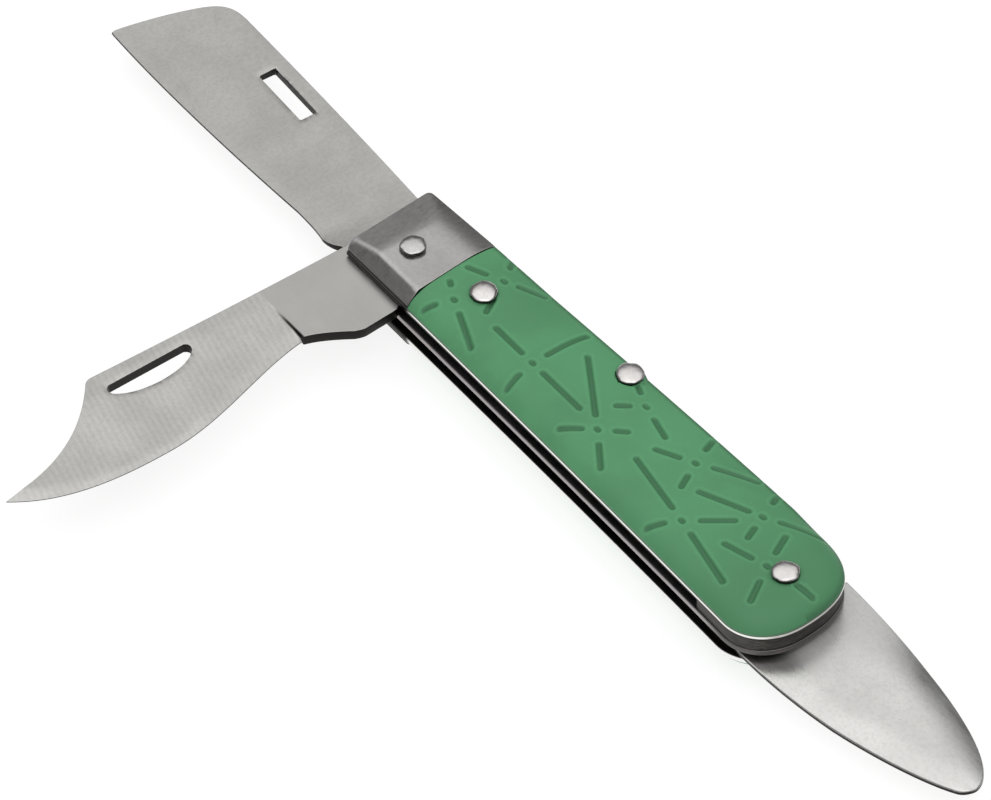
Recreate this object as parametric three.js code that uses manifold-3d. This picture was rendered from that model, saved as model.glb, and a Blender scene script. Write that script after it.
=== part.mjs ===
// A folding grafting knife: a straight grafting blade and a curved pruning blade on one pivot
// rivet, two slip-joint back springs, three steel liners, steel bolsters, green moulded scales
// and a fixed spoon-shaped bark lifter in the tail.
//
// Frame, in millimetres: the origin is on the pivot axis, on the flat that the knife rests on.
// +X runs from the head to the tail, +Y towards the spine (the side of the back springs), so the
// blades fold in from the -Y side, and +Z is up, through the stack of plates.
//
// At rest the grafting blade is fully open and the pruning blade stands at its half stop.

import * as THREE from 'three';
import { mergeVertices } from 'three/addons/utils/BufferGeometryUtils.js';
import Module from 'manifold-3d';

const wasm = await Module();
wasm.setup();

// ---- Stack of plates, bottom to top ----
const RIVET_HEAD_HEIGHT = 1.0;
const COVER_THICKNESS = 2.8;
const LINER_THICKNESS = 1.0;
const WELL = 2.4;
const GRAFTING_THICKNESS = 1.8;
const PRUNING_THICKNESS = 2.0;
const LIFTER_THICKNESS = 1.3;
const LIFTER_CLEARANCE = 0.1;

const Z_BOTTOM_FACE = RIVET_HEAD_HEIGHT;
const Z_LINER_BOTTOM = Z_BOTTOM_FACE + COVER_THICKNESS;
const Z_LOWER_WELL = Z_LINER_BOTTOM + LINER_THICKNESS;
const Z_LINER_CENTRE = Z_LOWER_WELL + WELL;
const Z_UPPER_WELL = Z_LINER_CENTRE + LINER_THICKNESS;
const Z_LINER_TOP = Z_UPPER_WELL + WELL;
const Z_COVER_TOP = Z_LINER_TOP + LINER_THICKNESS;
const Z_TOP_FACE = Z_COVER_TOP + COVER_THICKNESS;
const Z_MIDDLE = (Z_BOTTOM_FACE + Z_TOP_FACE) / 2;
const Z_GRAFTING = Z_LOWER_WELL + (WELL - GRAFTING_THICKNESS) / 2;
const Z_PRUNING = Z_UPPER_WELL + (WELL - PRUNING_THICKNESS) / 2;
const Z_LIFTER = Z_LOWER_WELL + LIFTER_CLEARANCE;

// ---- Handle outline ----
const HEAD_X = -8.5;
const TAIL_X = 99.2;
const WELL_SIDE_Y = -7.35;
const WELL_SIDE_TAIL = [91, -8.3];
const TAIL_MIDDLE_Y = 1.0;
const SPINE_TAIL = [87, 14.8];
const SPINE_HEAD_Y = 10.3;
const SPINE_BULGE = [50, 14.0];
const HEAD_OVERRUN = 3;
const COVER_INSET = 0.1;
const SPRING_INSET = 0.2;

// ---- Bolsters and scales ----
const END_TILT = THREE.MathUtils.degToRad(4.2);
const BOLSTER_JOINT_X = 7.6;
const JOINT_GAP = 0.06;
const SCALE_RECESS = 0.15;
const BOLSTER_CROWN = {
  height: COVER_THICKNESS, run: 5,
  well: { edge: 0.55, power: 3 },
  spine: { edge: 1.65, power: 2.2 },
};
const SCALE_CROWN = {
  height: COVER_THICKNESS - SCALE_RECESS, run: 8,
  well: { edge: 0.4, power: 4.2 },
  spine: { edge: 1.1, power: 2.2 },
};
const CROWN_TURN_Y = 4;
const CROWN_TAIL_X = { from: 80, to: 86 };
const HEAD_SLOPE_START_X = -2.2;
const HEAD_SLOPE = THREE.MathUtils.degToRad(9);
const SEAT_RADIUS = 2.4;
const SEAT_DROP = 0.6;
const Z_SCALE_FACE = Z_TOP_FACE - SCALE_RECESS;
const Z_SEAT = Z_SCALE_FACE - SEAT_DROP;

// ---- Rivets ----
const PIVOT = [0, 0];
const FRONT_PIN = [14.9, 2.9];
const SPRING_RIVET = [42.6, 10.9];
const TAIL_RIVET = [90.9, 4.2];
const PIVOT_SHANK = 1.5;
const PIN_SHANK = 1.25;
const PIVOT_HEAD = 2.15;
const PIN_HEAD = 2.3;
const SCALE_HEAD_HEIGHT = RIVET_HEAD_HEIGHT + SCALE_RECESS;
const HEAD_FLAT = 0.9;
const HEAD_RIM_HEIGHT = 0.25;
const PIVOT_RUNNING_CLEARANCE = 0.1;
const PIN_HOLE_CLEARANCE = 0.1;
const PIN_END_RECESS = 0.05;
const ROUND_SEGMENTS = 24;

// ---- Tangs and blades, drawn fully open, pointing to -X with the back on the +Y side ----
const TANG_RADIUS = 5.0;
const TANG_FLAT = 4.7;
const SHOULDER_X = -3.3;
const TANG_FLAT_HALF = Math.sqrt(TANG_RADIUS ** 2 - TANG_FLAT ** 2);
const TANG_CORNER_ANGLE = Math.atan2(TANG_FLAT, TANG_FLAT_HALF);
const CUTTING_EDGE_THICKNESS = 0.3;
const GRAFTING_SLOT = { x: -45.7, y: 8.75, length: 12.2, width: 3.2, angle: -2.6 };

// ---- Back springs ----
const SPRING_FRONT_X = -3.0;
const SPRING_FRONT_Y = TANG_RADIUS + 0.1;

// ---- Bark lifter ----
const LIFTER_ROOT_X = 78;
const LIFTER_SHOULDER_X = 92.3;
const LOWER_SPRING_END_X = 92.0;
const LIFTER_LEDGE_Y = 6.9;
const LIFTER_DOME = 1.3;
const LIFTER_EDGE_THICKNESS = 0.7;
const SPACER_RADIUS = 2.6;
const LIFTER_ROOT_RELIEF = 0.05;

// ---- Materials ----
const material = (color, roughness, metalness) => (
  new THREE.MeshStandardMaterial({ color, roughness, metalness })
);
const GREEN_PLASTIC = material(0x58946a, 0.55, 0);
const BOLSTER_STEEL = material(0xa8a6a3, 0.35, 1);
const LINER_STEEL = material(0xb9b4b4, 0.35, 1);
const BLADE_STEEL = material(0xb2b1ad, 0.4, 1);
const SPRING_STEEL = material(0x6f6a68, 0.5, 1);
const LIFTER_STEEL = material(0xcfcdc9, 0.25, 1);
const RIVET_STEEL = material(0xd2cfcc, 0.3, 1);

// ---- Solids ----

/** A manifold solid from a closed three.js geometry. */
function solidOf(geometry) {
  const bare = geometry.clone();
  bare.deleteAttribute('normal');
  bare.deleteAttribute('uv');
  const merged = mergeVertices(bare, 1e-5);
  return new wasm.Manifold(new wasm.Mesh({
    numProp: 3,
    vertProperties: new Float32Array(merged.attributes.position.array),
    triVerts: new Uint32Array(merged.index.array),
  }));
}

/** A three.js geometry from a manifold solid. */
function geometryOf(solid) {
  const mesh = solid.getMesh();
  const geometry = new THREE.BufferGeometry();
  geometry.setAttribute('position', new THREE.BufferAttribute(mesh.vertProperties, 3));
  geometry.setIndex(new THREE.BufferAttribute(mesh.triVerts, 1));
  geometry.computeVertexNormals();
  return geometry;
}

/** The same body seen in a mirror lying at Z_MIDDLE: the lower cover of a pair. */
function mirrored(geometry) {
  const copy = geometry.clone();
  const position = copy.attributes.position;
  for (let i = 0; i < position.count; i += 1) {
    position.setZ(i, 2 * Z_MIDDLE - position.getZ(i));
  }
  const index = copy.index.array;
  for (let i = 0; i < index.length; i += 3) {
    [index[i], index[i + 1]] = [index[i + 1], index[i]];
  }
  copy.computeVertexNormals();
  return copy;
}

/** A closed skin over a grid of top points and the bottom points under them. */
function skin(top, bottom) {
  const rows = top.length;
  const columns = top[0].length;
  const points = [...top.flat(), ...bottom.flat()];
  const triangles = [];
  const quad = (a, b, c, d) => triangles.push(a, b, c, a, c, d);
  const upper = (i, j) => i * columns + j;
  const lower = (i, j) => rows * columns + i * columns + j;
  for (let i = 0; i < rows - 1; i += 1) {
    for (let j = 0; j < columns - 1; j += 1) {
      quad(upper(i, j), upper(i + 1, j), upper(i + 1, j + 1), upper(i, j + 1));
      quad(lower(i, j), lower(i, j + 1), lower(i + 1, j + 1), lower(i + 1, j));
    }
    quad(upper(i, 0), lower(i, 0), lower(i + 1, 0), upper(i + 1, 0));
    const last = columns - 1;
    quad(upper(i, last), upper(i + 1, last), lower(i + 1, last), lower(i, last));
  }
  for (let j = 0; j < columns - 1; j += 1) {
    quad(upper(0, j), upper(0, j + 1), lower(0, j + 1), lower(0, j));
    const end = rows - 1;
    quad(upper(end, j), lower(end, j), lower(end, j + 1), upper(end, j + 1));
  }
  const geometry = new THREE.BufferGeometry();
  geometry.setAttribute('position', new THREE.Float32BufferAttribute(points.flat(), 3));
  geometry.setIndex(triangles);
  return geometry;
}

/** An upright cylinder between two heights. */
function post([x, y], radius, zLow, zHigh) {
  const cylinder = new THREE.CylinderGeometry(radius, radius, zHigh - zLow, ROUND_SEGMENTS);
  cylinder.rotateX(Math.PI / 2);
  cylinder.translate(x, y, (zLow + zHigh) / 2);
  return solidOf(cylinder);
}

/** A flat plate of the given outline, drilled with [place, radius] holes. */
function plate(outline, zLow, thickness, holes = []) {
  const blank = new THREE.ExtrudeGeometry(outline, {
    depth: thickness, bevelEnabled: false, curveSegments: 10,
  });
  blank.translate(0, 0, zLow);
  return holes.reduce(
    (solid, [place, radius]) => solid.subtract(post(place, radius, zLow - 1, zLow + thickness + 1)),
    solidOf(blank),
  );
}

/** A block with one face on the upright plane through (x, 0) tilted by END_TILT, towards side. */
function halfSpace(x, side) {
  const size = 300;
  const block = new THREE.BoxGeometry(size, size, size);
  block.translate(side * size / 2, 0, 0);
  block.rotateZ(END_TILT);
  block.translate(x, 0, 0);
  return solidOf(block);
}

// ---- Handle ----

/** Outline shared by the liners, and by the covers when inset; it may run past the head. */
function handleOutline(inset, headX) {
  const well = WELL_SIDE_Y + inset;
  const wellTail = WELL_SIDE_TAIL[1] + inset;
  const tail = TAIL_X - inset;
  const [spineTailX, spineTailY] = SPINE_TAIL;
  const outline = new THREE.Shape();
  outline.moveTo(headX, well);
  outline.quadraticCurveTo(45, well, WELL_SIDE_TAIL[0], wellTail);
  outline.bezierCurveTo(96, wellTail - 0.1, tail, -4.1, tail, TAIL_MIDDLE_Y);
  outline.bezierCurveTo(tail, 9.6, 96.5, spineTailY + 0.1 - inset, spineTailX, spineTailY - inset);
  outline.quadraticCurveTo(SPINE_BULGE[0], SPINE_BULGE[1] - inset, headX, SPINE_HEAD_Y - inset);
  return outline;
}

const pivotHole = [PIVOT, PIVOT_SHANK + PIVOT_RUNNING_CLEARANCE];
const pinHole = (place) => [place, PIN_SHANK + PIN_HOLE_CLEARANCE];

function liner(zLow, holes) {
  const blank = plate(handleOutline(0, HEAD_X - HEAD_OVERRUN), zLow, LINER_THICKNESS, holes);
  return geometryOf(blank.intersect(halfSpace(HEAD_X, 1)));
}

/** Distance from a point to an open line of points. */
function distanceTo(line, point) {
  const nearest = new THREE.Vector2();
  const side = new THREE.Vector2();
  return line.slice(1).reduce((least, end, i) => {
    side.subVectors(end, line[i]);
    const along = nearest.subVectors(point, line[i]).dot(side) / side.lengthSq();
    nearest.copy(line[i]).addScaledVector(side, THREE.MathUtils.clamp(along, 0, 1));
    return Math.min(least, nearest.distanceTo(point));
  }, Infinity);
}

/** The lowest and highest y at which a line of points crosses the given x. */
function crossings(line, x) {
  const found = [];
  line.slice(1).forEach((end, i) => {
    const start = line[i];
    if ((start.x - x) * (end.x - x) <= 0 && start.x !== end.x) {
      found.push(start.y + (end.y - start.y) * (x - start.x) / (end.x - start.x));
    }
  });
  return [Math.min(...found), Math.max(...found)];
}

/** The upper cover over the whole handle, its height rising from the edge inwards by a crown. */
function coverBlank({ height, run, well, spine }) {
  const line = handleOutline(COVER_INSET, HEAD_X - HEAD_OVERRUN).getPoints(16);
  const [straightRows, tailRows, columns] = [8, 9, 18];
  const headX = HEAD_X - HEAD_OVERRUN + 0.5;
  const tailStart = 82;
  const tailLength = TAIL_X - COVER_INSET - tailStart;
  const lastRowTurn = 0.98 * (Math.PI / 2);
  const stations = [];
  for (let i = 0; i < straightRows; i += 1) {
    stations.push(THREE.MathUtils.lerp(headX, tailStart, i / straightRows));
  }
  for (let i = 0; i <= tailRows; i += 1) {
    stations.push(tailStart + tailLength * Math.sin(lastRowTurn * i / tailRows));
  }
  const { clamp, lerp, smoothstep } = THREE.MathUtils;
  const rise = (x, y) => {
    const within = Math.min(1, distanceTo(line, new THREE.Vector2(x, y)) / run);
    const aheadOfTail = 1 - smoothstep(x, CROWN_TAIL_X.from, CROWN_TAIL_X.to);
    const spineShare = clamp(y / CROWN_TURN_Y, 0, 1) * aheadOfTail;
    const edge = lerp(well.edge, spine.edge, spineShare);
    const power = lerp(well.power, spine.power, spineShare);
    return edge + (height - edge) * (1 - (1 - within) ** power);
  };
  const rowAt = (x, zAt) => {
    const [low, high] = crossings(line, x);
    return Array.from({ length: columns + 1 }, (_, j) => {
      const y = (low + high) / 2 - ((high - low) / 2) * Math.cos((Math.PI * j) / columns);
      return [x, y, zAt(x, y)];
    });
  };
  const top = stations.map((x) => rowAt(x, (px, py) => Z_COVER_TOP + rise(px, py)));
  const bottom = stations.map((x) => rowAt(x, () => Z_COVER_TOP));
  return solidOf(skin(top, bottom));
}

/** The steel bolster, its top falling away towards the head end. */
function bolster() {
  const slope = new THREE.BoxGeometry(100, 100, 20);
  slope.translate(-50, 0, 10);
  slope.rotateY(-HEAD_SLOPE);
  slope.translate(HEAD_SLOPE_START_X, 0, Z_TOP_FACE);
  return geometryOf(coverBlank(BOLSTER_CROWN)
    .intersect(halfSpace(HEAD_X, 1))
    .intersect(halfSpace(BOLSTER_JOINT_X, -1))
    .subtract(solidOf(slope))
    .subtract(post(PIVOT, PIVOT_SHANK + PIVOT_RUNNING_CLEARANCE, 0, 30)));
}

/** The moulded scale, with a round level seat for the spring rivet's head on its crowned side. */
function scale() {
  const pins = [FRONT_PIN, SPRING_RIVET, TAIL_RIVET];
  const moulded = coverBlank(SCALE_CROWN)
    .intersect(halfSpace(BOLSTER_JOINT_X + JOINT_GAP, 1))
    .add(post(SPRING_RIVET, SEAT_RADIUS, Z_COVER_TOP, Z_SEAT))
    .subtract(post(SPRING_RIVET, SEAT_RADIUS, Z_SEAT, 30));
  return geometryOf(pins.reduce(
    (solid, place) => solid.subtract(post(place, PIN_SHANK + PIN_HOLE_CLEARANCE, 0, 30)),
    moulded,
  ));
}

// ---- Rivets ----

/** Half profile of a domed head, from its rim at the face to the flat on its crown. */
function headProfile({ radius, height, face, direction }) {
  const rise = height - HEAD_RIM_HEIGHT;
  const steps = 4;
  const points = [new THREE.Vector2(radius, face)];
  for (let i = 0; i <= steps; i += 1) {
    const angle = (i / steps) * (Math.PI / 2);
    const r = HEAD_FLAT + (radius - HEAD_FLAT) * Math.cos(angle);
    points.push(new THREE.Vector2(r, face + direction * (HEAD_RIM_HEIGHT + rise * Math.sin(angle))));
  }
  points.push(new THREE.Vector2(0, face + direction * height));
  return points;
}

/** A plain flush end of a shank. */
const flushEnd = (face) => [new THREE.Vector2(0, face)];

/** A rivet turned about its own axis, from the profiles of its two ends. */
function rivet([x, y], shank, lowFace, highFace, lowEnd, highEnd) {
  const profile = [
    ...lowEnd.reverse(),
    new THREE.Vector2(shank, lowFace),
    new THREE.Vector2(shank, highFace),
    ...highEnd,
  ];
  const turned = new THREE.LatheGeometry(profile, ROUND_SEGMENTS);
  turned.rotateX(Math.PI / 2);
  turned.translate(x, y, 0);
  return geometryOf(solidOf(turned));
}

/** A rivet through the whole handle, with a head on each side standing on faces of one height. */
function throughRivet(place, shank, radius, height, face) {
  const lowFace = 2 * Z_MIDDLE - face;
  return rivet(
    place,
    shank,
    lowFace,
    face,
    headProfile({ radius, height, face: lowFace, direction: -1 }),
    headProfile({ radius, height, face, direction: 1 }),
  );
}

/** A short pin that holds a scale to its liner and ends inside the liner. */
function upperScalePin() {
  const end = Z_LINER_TOP + PIN_END_RECESS;
  const head = headProfile({
    radius: PIN_HEAD, height: SCALE_HEAD_HEIGHT, face: Z_SCALE_FACE, direction: 1,
  });
  return rivet(FRONT_PIN, PIN_SHANK, end, Z_SCALE_FACE, flushEnd(end), head);
}

// ---- Blades ----

/** Starts a blade outline with the tang: three flats, for open, half stop and closed. */
function startTang() {
  const outline = new THREE.Shape();
  outline.moveTo(SHOULDER_X, TANG_FLAT);
  outline.lineTo(TANG_FLAT_HALF, TANG_FLAT);
  outline.absarc(0, 0, TANG_RADIUS, TANG_CORNER_ANGLE, Math.PI / 2 - TANG_CORNER_ANGLE, true);
  outline.lineTo(TANG_FLAT, -TANG_FLAT_HALF);
  outline.absarc(0, 0, TANG_RADIUS, TANG_CORNER_ANGLE - Math.PI / 2, -TANG_CORNER_ANGLE, true);
  return outline;
}

/** A wedge that grinds one face of a blade down from the line y = yTop to its cutting edge. */
function grind({ xTip, xPlunge, yTop, yEdge, zLow, thickness, side }) {
  const face = side > 0 ? zLow + thickness : zLow;
  const drop = (thickness - CUTTING_EDGE_THICKNESS) / 2;
  const reach = 3;
  const yEnd = yEdge - reach;
  const dropEnd = drop * (yTop - yEnd) / (yTop - yEdge);
  const section = new THREE.Shape();
  section.moveTo(yTop, side);
  section.lineTo(yTop, 0);
  section.lineTo(yEnd, -side * dropEnd);
  section.lineTo(yEnd, side);
  section.closePath();
  const wedge = new THREE.ExtrudeGeometry(section, { depth: xPlunge - xTip + reach, bevelEnabled: false });
  wedge.applyMatrix4(new THREE.Matrix4().makeBasis(
    new THREE.Vector3(0, 1, 0),
    new THREE.Vector3(0, 0, 1),
    new THREE.Vector3(1, 0, 0),
  ));
  wedge.translate(xTip - reach, 0, face);
  return solidOf(wedge);
}

function groundBlade(outline, zLow, thickness, faces) {
  const blank = plate(outline, zLow, thickness, [pivotHole]);
  return [1, -1].reduce(
    (solid, side) => solid.subtract(grind({ ...faces, zLow, thickness, side })),
    blank,
  );
}

/** Straight sheepsfoot blade with a rectangular opening near its back. */
function graftingBlade() {
  const outline = startTang();
  outline.lineTo(-13.1, -4.7);
  outline.quadraticCurveTo(-14.6, -5.9, -16.4, -5.95);
  outline.quadraticCurveTo(-19, -5.4, -24, -5.4);
  outline.quadraticCurveTo(-55, -6.9, -74.9, -5.6);
  outline.lineTo(-75.0, -4.9);
  outline.quadraticCurveTo(-73.2, 2.5, -70.9, 7.8);
  outline.bezierCurveTo(-69.0, 12.4, -67.3, 13.5, -63.5, 13.5);
  outline.quadraticCurveTo(-30, 12.6, SHOULDER_X, 10.7);
  outline.closePath();
  const slot = new THREE.BoxGeometry(GRAFTING_SLOT.length, GRAFTING_SLOT.width, 10);
  slot.rotateZ(THREE.MathUtils.degToRad(GRAFTING_SLOT.angle));
  slot.translate(GRAFTING_SLOT.x, GRAFTING_SLOT.y, Z_GRAFTING);
  const faces = { xTip: -76, xPlunge: -15.6, yTop: 13.0, yEdge: -6.3 };
  const blade = groundBlade(outline, Z_GRAFTING, GRAFTING_THICKNESS, faces);
  return geometryOf(blade.subtract(solidOf(slot)));
}

/** Curved clip-point blade with a D-shaped nail opening near its back. */
function pruningBlade() {
  const outline = startTang();
  outline.lineTo(-5.5, -TANG_FLAT);
  outline.lineTo(-8.0, -6.3);
  outline.lineTo(-14.3, -6.6);
  outline.quadraticCurveTo(-15.2, -6.5, -16.2, -6.0);
  outline.quadraticCurveTo(-20.6, -2.9, -23.4, -2.1);
  outline.bezierCurveTo(-33, -3.0, -43.5, -8.5, -54.3, -8.5);
  outline.bezierCurveTo(-66, -8.6, -74.5, -7.0, -81.2, -1.7);
  outline.bezierCurveTo(-72, -1.2, -64, 1.8, -56.6, 11.2);
  outline.quadraticCurveTo(-30, 10.1, SHOULDER_X, 9.8);
  outline.closePath();
  const opening = new THREE.Shape();
  opening.moveTo(-54.3, 8.15);
  opening.lineTo(-39.6, 8.15);
  opening.quadraticCurveTo(-38.4, 7.6, -39.2, 6.3);
  opening.quadraticCurveTo(-41.5, 4.05, -47.2, 4.05);
  opening.quadraticCurveTo(-52.5, 4.3, -54.8, 6.4);
  opening.quadraticCurveTo(-55.4, 7.6, -54.3, 8.15);
  const faces = { xTip: -82, xPlunge: -23.3, yTop: 7.7, yEdge: -8.5 };
  const blade = groundBlade(outline, Z_PRUNING, PRUNING_THICKNESS, faces);
  return geometryOf(blade.subtract(plate(opening, Z_PRUNING - 1, PRUNING_THICKNESS + 2)));
}

// ---- Back springs ----

/** Upper spring: it bears on the pruning blade's tang and fills the tail of the upper well. */
function upperSpring() {
  const spineY = SPINE_HEAD_Y - SPRING_INSET;
  const tail = TAIL_X - SPRING_INSET;
  const outline = new THREE.Shape();
  outline.moveTo(SPRING_FRONT_X, SPRING_FRONT_Y);
  outline.lineTo(4.5, SPRING_FRONT_Y);
  outline.lineTo(7.0, 7.0);
  outline.lineTo(16, 7.1);
  outline.quadraticCurveTo(38, 7.4, 46, 8.3);
  outline.quadraticCurveTo(49, 9.0, 53, 9.0);
  outline.lineTo(66, 9.0);
  outline.quadraticCurveTo(78, 8.6, 84, 4.5);
  outline.lineTo(84, -7.9);
  outline.lineTo(WELL_SIDE_TAIL[0], WELL_SIDE_TAIL[1] + SPRING_INSET);
  outline.bezierCurveTo(96, WELL_SIDE_TAIL[1], tail, -3.9, tail, TAIL_MIDDLE_Y);
  outline.bezierCurveTo(tail, 9.4, 96.3, SPINE_TAIL[1] - 0.1, SPINE_TAIL[0], SPINE_TAIL[1] - SPRING_INSET);
  outline.quadraticCurveTo(SPINE_BULGE[0], SPINE_BULGE[1] - SPRING_INSET, SPRING_FRONT_X, spineY + 0.3);
  outline.closePath();
  return geometryOf(plate(outline, Z_UPPER_WELL, WELL, [pinHole(SPRING_RIVET), pinHole(TAIL_RIVET)]));
}

/** Lower spring: it bears on the grafting blade's tang and its tail lies on the lifter's ledge. */
function lowerSpring() {
  const outline = new THREE.Shape();
  outline.moveTo(SPRING_FRONT_X, SPRING_FRONT_Y);
  outline.lineTo(4.5, SPRING_FRONT_Y);
  outline.lineTo(11, 6.9);
  outline.lineTo(LOWER_SPRING_END_X, LIFTER_LEDGE_Y + 0.3);
  outline.lineTo(LOWER_SPRING_END_X, 13.3);
  outline.quadraticCurveTo(90, SPINE_TAIL[1] - 0.3, SPINE_TAIL[0], SPINE_TAIL[1] - SPRING_INSET);
  outline.quadraticCurveTo(
    SPINE_BULGE[0],
    SPINE_BULGE[1] - SPRING_INSET,
    SPRING_FRONT_X,
    SPINE_HEAD_Y + 0.1,
  );
  outline.closePath();
  return geometryOf(plate(outline, Z_LOWER_WELL, WELL, [pinHole(SPRING_RIVET)]));
}

// ---- Bark lifter ----

/** The spoon past the tail: a blunt leaf, its long sides rolling down from a flat middle. */
function lifterSpoon() {
  const v = (x, y) => new THREE.Vector2(x, y);
  const wellEdge = new THREE.CubicBezierCurve(v(92.3, -7.1), v(112, -7.4), v(133.7, 0.1), v(137.2, 3.7));
  const spineEdge = new THREE.CubicBezierCurve(v(92.3, 15.4), v(113, 15.9), v(137.5, 12.2), v(137.2, 4.8));
  const rows = 18;
  const columns = 10;
  const top = [];
  const bottom = [];
  for (let i = 0; i <= rows; i += 1) {
    const t = i / rows;
    const left = wellEdge.getPoint(t);
    const right = spineEdge.getPoint(t);
    const dome = LIFTER_DOME * Math.min(1, 2 * t);
    const topRow = [];
    const bottomRow = [];
    for (let j = 0; j <= columns; j += 1) {
      const across = 2 * j / columns - 1;
      const roll = Math.abs(across) ** 3;
      const x = THREE.MathUtils.lerp(left.x, right.x, j / columns);
      const y = THREE.MathUtils.lerp(left.y, right.y, j / columns);
      const thinning = Math.max(roll, t ** 3);
      const thickness = THREE.MathUtils.lerp(LIFTER_THICKNESS, LIFTER_EDGE_THICKNESS, thinning);
      const z = Z_LIFTER + LIFTER_THICKNESS - dome * roll;
      topRow.push([x, y, z]);
      bottomRow.push([x, y, z - thickness]);
    }
    top.push(topRow);
    bottom.push(bottomRow);
  }
  return solidOf(skin(top, bottom));
}

function barkLifter() {
  const root = new THREE.Shape();
  root.moveTo(LIFTER_ROOT_X, -7.0);
  root.lineTo(LIFTER_SHOULDER_X + 2, -7.0);
  root.lineTo(LIFTER_SHOULDER_X + 2, LIFTER_LEDGE_Y);
  root.lineTo(LIFTER_ROOT_X, LIFTER_LEDGE_Y);
  root.closePath();
  const thickness = LIFTER_THICKNESS - 2 * LIFTER_ROOT_RELIEF;
  const tab = plate(root, Z_LIFTER + LIFTER_ROOT_RELIEF, thickness, [pinHole(TAIL_RIVET)]);
  return geometryOf(tab.add(lifterSpoon()));
}

/** Ring on the tail rivet that fills the well above the lifter's root. */
function lifterSpacer() {
  const low = Z_LIFTER + LIFTER_THICKNESS;
  const disc = post(TAIL_RIVET, SPACER_RADIUS, low, Z_LINER_CENTRE);
  return geometryOf(disc.subtract(post(TAIL_RIVET, PIN_SHANK + PIN_HOLE_CLEARANCE, 0, 30)));
}

// ---- Assembly ----

const knife = new THREE.Group();

function addPart(parent, name, geometry, finish) {
  const mesh = new THREE.Mesh(geometry, finish);
  mesh.name = name;
  parent.add(mesh);
  return mesh;
}

const upperBolster = bolster();
const upperScale = scale();
addPart(knife, 'scale_top', upperScale, GREEN_PLASTIC);
addPart(knife, 'scale_bottom', mirrored(upperScale), GREEN_PLASTIC);
addPart(knife, 'bolster_top', upperBolster, BOLSTER_STEEL);
addPart(knife, 'bolster_bottom', mirrored(upperBolster), BOLSTER_STEEL);

const throughHoles = [pivotHole, pinHole(SPRING_RIVET), pinHole(TAIL_RIVET)];
const outerHoles = [...throughHoles, pinHole(FRONT_PIN)];
addPart(knife, 'liner_bottom', liner(Z_LINER_BOTTOM, outerHoles), LINER_STEEL);
addPart(knife, 'liner_centre', liner(Z_LINER_CENTRE, throughHoles), LINER_STEEL);
addPart(knife, 'liner_top', liner(Z_LINER_TOP, outerHoles), LINER_STEEL);
addPart(knife, 'back_spring_lower', lowerSpring(), SPRING_STEEL);
addPart(knife, 'back_spring_upper', upperSpring(), SPRING_STEEL);
addPart(knife, 'bark_lifter', barkLifter(), LIFTER_STEEL);
addPart(knife, 'lifter_spacer', lifterSpacer(), LINER_STEEL);

const pivot = throughRivet(PIVOT, PIVOT_SHANK, PIVOT_HEAD, RIVET_HEAD_HEIGHT, Z_TOP_FACE);
const springRivet = throughRivet(SPRING_RIVET, PIN_SHANK, PIN_HEAD, SCALE_HEAD_HEIGHT, Z_SEAT);
const tailRivet = throughRivet(TAIL_RIVET, PIN_SHANK, PIN_HEAD, SCALE_HEAD_HEIGHT, Z_SCALE_FACE);
addPart(knife, 'pivot_rivet', pivot, RIVET_STEEL);
addPart(knife, 'spring_rivet', springRivet, RIVET_STEEL);
addPart(knife, 'tail_rivet', tailRivet, RIVET_STEEL);
addPart(knife, 'scale_pin_top', upperScalePin(), RIVET_STEEL);
addPart(knife, 'scale_pin_bottom', mirrored(upperScalePin()), RIVET_STEEL);

addPart(knife, 'grafting_blade', graftingBlade(), BLADE_STEEL);
const halfStop = new THREE.Group();
halfStop.rotation.z = Math.PI / 2;
addPart(halfStop, 'pruning_blade', pruningBlade(), BLADE_STEEL);
knife.add(halfStop);

export default knife;
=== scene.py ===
# A folding grafting knife: finished surfaces, materials, light and camera around the CAD frame.
#
# Plan shapes are written in millimetres in the knife's own frame: the pivot is at (0, 0), +X runs
# to the tail and +Y to the spine. Heights come from the CAD nodes' boxes.

import math

import bmesh
import bpy
import numpy as np
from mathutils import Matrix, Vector, geometry, noise


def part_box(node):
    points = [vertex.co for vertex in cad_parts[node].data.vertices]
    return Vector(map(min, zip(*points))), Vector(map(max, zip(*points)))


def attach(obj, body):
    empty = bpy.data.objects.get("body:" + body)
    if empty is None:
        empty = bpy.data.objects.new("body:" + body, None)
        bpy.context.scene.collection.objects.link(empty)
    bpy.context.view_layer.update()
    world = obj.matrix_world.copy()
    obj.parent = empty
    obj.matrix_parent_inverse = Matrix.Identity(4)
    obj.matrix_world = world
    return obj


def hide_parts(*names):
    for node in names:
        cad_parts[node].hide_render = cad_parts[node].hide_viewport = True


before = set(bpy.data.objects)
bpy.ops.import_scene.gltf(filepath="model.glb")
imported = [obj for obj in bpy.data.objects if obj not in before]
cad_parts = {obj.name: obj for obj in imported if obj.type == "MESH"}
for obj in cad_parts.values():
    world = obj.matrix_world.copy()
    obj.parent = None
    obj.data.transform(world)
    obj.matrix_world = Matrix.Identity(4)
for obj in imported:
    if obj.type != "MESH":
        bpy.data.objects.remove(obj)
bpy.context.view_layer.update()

MM = 0.001


# ---- Heights, in millimetres, from the CAD nodes ----

def heights(node):
    """Lowest and highest z of a CAD node, in millimetres."""
    low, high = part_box(node)
    return low[2] / MM, high[2] / MM


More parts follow.
